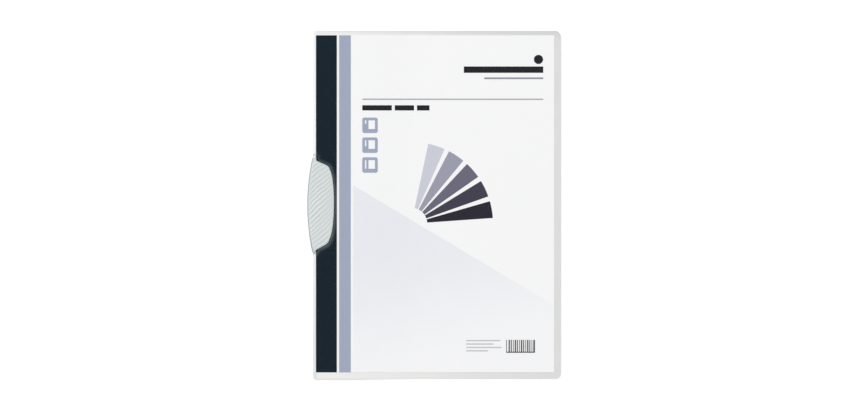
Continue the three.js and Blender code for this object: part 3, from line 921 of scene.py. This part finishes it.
def lensEdge(ys, foreLimit):
    half, middle = moulding["lensHalf"], leaf["middle"]
    foot, head = (moulding["lensFootX"], middle - half), (moulding["lensHeadX"], middle + half)
    edge = bezier([foot, (moulding["lensControl"], middle), head], moulding["lensSteps"])
    return np.minimum(np.interp(ys, edge[:, 1], edge[:, 0]), foreLimit)


# The lower leaf keeps the spine side's columns, so that the wall joins both leaves
def lowerGrid(upperGrid, ys, right, wallColumn):
    rows = []
    for row, fore in zip(upperGrid, lensEdge(ys, right)):
        start = row[:wallColumn + 1]
        width = max(fore, start[-1] + moulding["lensLeast"]) - start[-1]
        shares = np.linspace(0, 1, moulding["lensColumns"] + 1)[1:]
        rows.append(np.concatenate([start, start[-1] + width * shares]))
    return np.array(rows)


# Faces of a slab between two grids of points, without the quads of one of them where the wall stands
def slabFaces(top, under, rows, columns, wallRows, wallColumn, wallSide):
    faces = []
    for i in range(rows - 1):
        for j in range(columns - 1):
            a, b = i * columns + j, (i + 1) * columns + j
            wallHere = i in wallRows and j < wallColumn
            if not (wallHere and wallSide == "top"):
                faces.append([top + a, top + a + 1, top + b + 1, top + b])
            if not (wallHere and wallSide == "under"):
                faces.append([under + a, under + b, under + b + 1, under + a + 1])
        a, b = i * columns, (i + 1) * columns - 1
        faces.append([top + a, top + a + columns, under + a + columns, under + a])
        faces.append([top + b, under + b, under + b + columns, top + b + columns])
    for j in range(columns - 1):
        last = (rows - 1) * columns + j
        faces.append([top + j, under + j, under + j + 1, top + j + 1])
        faces.append([top + last, top + last + 1, under + last + 1, under + last])
    return faces


# Faces of the wall between a grid above it and a grid below it, each given by its first point and columns
def wallFaces(above, aboveColumns, below, belowColumns, wallRows, firstLow, wallColumn):
    def pair(row, column):
        return above + row * aboveColumns + column, below + (row - firstLow) * belowColumns + column

    faces = []
    for row in wallRows:
        (a, b), (c, d) = pair(row, 0), pair(row + 1, 0)
        faces.append([a, c, d, b])
        (a, b), (c, d) = pair(row, wallColumn), pair(row + 1, wallColumn)
        faces.append([a, b, d, c])
    for column in range(wallColumn):
        (a, b), (c, d) = pair(wallRows[0], column), pair(wallRows[0], column + 1)
        faces.append([a, b, d, c])
        (a, b), (c, d) = pair(wallRows[-1] + 1, column), pair(wallRows[-1] + 1, column + 1)
        faces.append([a, c, d, b])
    return faces


def buildClipMesh():
    outline, ys = leafOutline(), clipRows()
    rows, columns = len(ys), moulding["columns"]
    earSpine = earArc(1, 0.5, moulding["earSpineSteps"])
    earFore = earArc(0.5, -leaf["earSweepBelow"], moulding["earForeSteps"])
    left = sideAt(np.vstack([outline[:1], leafSpineSide(), earSpine]), ys)
    right = sideAt(np.vstack([earFore, leafForeSide(0), outline[:1]]), ys)
    grid = np.array([rowColumns(a, b) for a, b in zip(left, right)])
    wallColumn = moulding["spineEdges"].index(moulding["wall"])
    firstLow = int(np.argmax(ys >= leaf["middle"] - moulding["lensHalf"] - moulding["lensStart"]))
    lowGrid = lowerGrid(grid[firstLow:], ys[firstLow:], right[firstLow:], wallColumn)
    lowColumns = lowGrid.shape[1]
    halfway = (ys[:-1] + ys[1:]) / 2
    wallRows = [i for i in range(rows - 1) if abs(halfway[i] - leaf["middle"]) < moulding["wallHalf"]]

    points = []

    def addGrid(xs, yRow, zs):
        first = len(points)
        yGrid = np.repeat(yRow, xs.shape[1])
        points.extend(np.column_stack([xs.ravel(), yGrid, np.broadcast_to(zs, xs.shape).ravel()]).tolist())
        return first

    height = upperHeight(grid.ravel(), np.repeat(ys, columns), outline).reshape(grid.shape)
    upperTop, upperUnder = addGrid(grid, ys, height), addGrid(grid, ys, leaf["under"])
    inset = np.minimum(lowGrid - lowGrid[:, :1], lowGrid[:, -1:] - lowGrid)
    chamfer = moulding["chamfer"] * np.clip(1 - inset / moulding["chamfer"], 0, 1) ** 2
    lowerTop = addGrid(lowGrid, ys[firstLow:], moulding["lowerThickness"])
    lowerUnder = addGrid(lowGrid, ys[firstLow:], chamfer)

    lowWallRows = [row - firstLow for row in wallRows]
    faces = slabFaces(upperTop, upperUnder, rows, columns, wallRows, wallColumn, "under")
    faces += slabFaces(lowerTop, lowerUnder, rows - firstLow, lowColumns, lowWallRows, wallColumn, "top")
    faces += wallFaces(upperUnder, columns, lowerTop, lowColumns, wallRows, firstLow, wallColumn)

    scaled = np.array(points)
    scaled[:, 0] = (scaled[:, 0] + spineX) * mm
    scaled[:, 1:] *= mm
    mesh = bpy.data.meshes.new("ribbedClip")
    mesh.from_pydata(scaled.tolist(), [], faces)
    mesh.update()
    return mesh


# Clip plastic: off-white, with painted shade along the rolled spine-side edge that deepens towards the foot
clipLook = {
    "colour": srgb(209, 215, 215),
    "rimShadeColour": srgb(140, 142, 144),
    "rimWidth": 0.35,
    "rimFade": 0.9,
    "rimShadeShare": 0.85,
    "deeper": 0.4,
    "deeperFrom": -20,
    "deeperOver": 20,
    "specular": 0.4,
    "grain": {"Speckle_Scale": 1500, "Cloud_Scale": 90, "Speckle": 0.03, "Cloud": 0.05},
    "roughness": (0.32, 0.46),
    "bump": 0.00003,
}


def clipMaterial():
    material, nodes, links, shader = startMaterial("clipPlastic", clipLook["specular"])
    shadeMask = nodes.new("ShaderNodeAttribute")
    shadeMask.attribute_name = "rimShadeMask"
    colour = mixColours(nodes, links, shadeMask.outputs["Fac"], clipLook["colour"], clipLook["rimShadeColour"])
    addGrain(nodes, links, shader, clipLook, colour)
    return material


def buildClip():
    mesh = buildClipMesh()
    points = np.empty(len(mesh.vertices) * 3)
    mesh.vertices.foreach_get("co", points)
    points = points.reshape(-1, 3) / mm
    # Painted shade on the rolled spine-side edge, stronger towards the foot
    gap = np.maximum(spineGap(points[:, 0] - spineX, points[:, 1]), 0)
    lowered = np.clip((clipLook["deeperFrom"] - points[:, 1]) / clipLook["deeperOver"], 0, 1)
    strength = clipLook["rimShadeShare"] + clipLook["deeper"] * lowered
    shadeMask = np.clip(1 - (gap - clipLook["rimWidth"]) / clipLook["rimFade"], 0, 1) * strength
    layer = mesh.attributes.new("rimShadeMask", "FLOAT", "POINT")
    layer.data.foreach_set("value", shadeMask.astype(np.float32))
    smooth(mesh, moulding["sharpAngle"])
    placePiece("ribbedClip", mesh, "clip", clipMaterial(), ["swing_clip"])


buildClip()
print("clip built")


# Rivet: the same kind of plastic, a little whiter and smoother
rivet = {
    "colour": srgb(232, 235, 235),
    "specular": 0.45,
    "grain": {"Speckle_Scale": 2000, "Cloud_Scale": 200, "Speckle": 0.03, "Cloud": 0.04},
    "roughness": (0.28, 0.42),
    "bump": 0.00002,
}


def rivetMaterial():
    material, nodes, links, shader = startMaterial("rivetPlastic", rivet["specular"])
    addGrain(nodes, links, shader, rivet, rivet["colour"])
    return material


dress("pivot_rivet", rivetMaterial())
print("rivet dressed")


# Crease: the film that joins the spine to the front cover, in the two lengths beside the clip
crease = {
    "section": ((-0.02, 3.4), (-0.04, 3.75), (0.0, 4.02), (0.12, 4.22), (0.32, 4.32), (0.75, 4.36),
                (1.5, 4.36), (2.5, 4.34)),
    "thickness": 0.12,
    "step": 6,
    "windowGap": 0.3,
    "sharpAngle": 60,
}


# The thin milky film lets light through to what lies under it
def creaseMaterial():
    material = bpy.data.materials["milkySheet"].copy()
    material.name = "creaseFilm"
    nodes, links = material.node_tree.nodes, material.node_tree.links
    path = nodes.new("ShaderNodeLightPath")
    passing = combine(nodes, links, "MAXIMUM", path.outputs["Is Shadow Ray"], path.outputs["Is Diffuse Ray"])
    mixShaders(nodes, links, passing, nodes["Principled BSDF"], nodes.new("ShaderNodeBsdfTransparent"))
    return material


def creaseMesh(name, start, end):
    section = np.array(crease["section"])
    tangent = np.gradient(section, axis=0)
    normal = np.column_stack([tangent[:, 1], -tangent[:, 0]])
    normal /= np.linalg.norm(normal, axis=1)[:, None]
    inner = section + normal * crease["thickness"]
    ring = np.vstack([section, inner[::-1]])
    ys = np.linspace(start, end, max(2, round(abs(end - start) / crease["step"]) + 1))
    size = len(ring)
    points = [((x + spineX) * mm, y * mm, z * mm) for y in ys for x, z in ring]
    faces = []
    for i in range(len(ys) - 1):
        for j in range(size):
            k = (j + 1) % size
            faces.append([i * size + j, i * size + k, (i + 1) * size + k, (i + 1) * size + j])
    faces.append(list(range(size - 1, -1, -1)))
    faces.append([(len(ys) - 1) * size + j for j in range(size)])
    mesh = bpy.data.meshes.new(name)
    mesh.from_pydata(points, [], faces)
    mesh.update()
    fixer = bmesh.new()
    fixer.from_mesh(mesh)
    bmesh.ops.recalc_face_normals(fixer, faces=fixer.faces)
    fixer.to_mesh(mesh)
    fixer.free()
    return mesh


def buildCreases():
    half, gap = coverHeight / 2, crease["windowGap"]
    lengths = {"creaseHead": (window["topY"] + gap, half), "creaseFoot": (-half, window["footY"] - gap)}
    material = creaseMaterial()
    for name, (start, end) in lengths.items():
        mesh = creaseMesh(name, start, end)
        smooth(mesh, crease["sharpAngle"])
        piece = placePiece(name, mesh, None, material)
        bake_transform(piece)


buildCreases()
print("creases built")
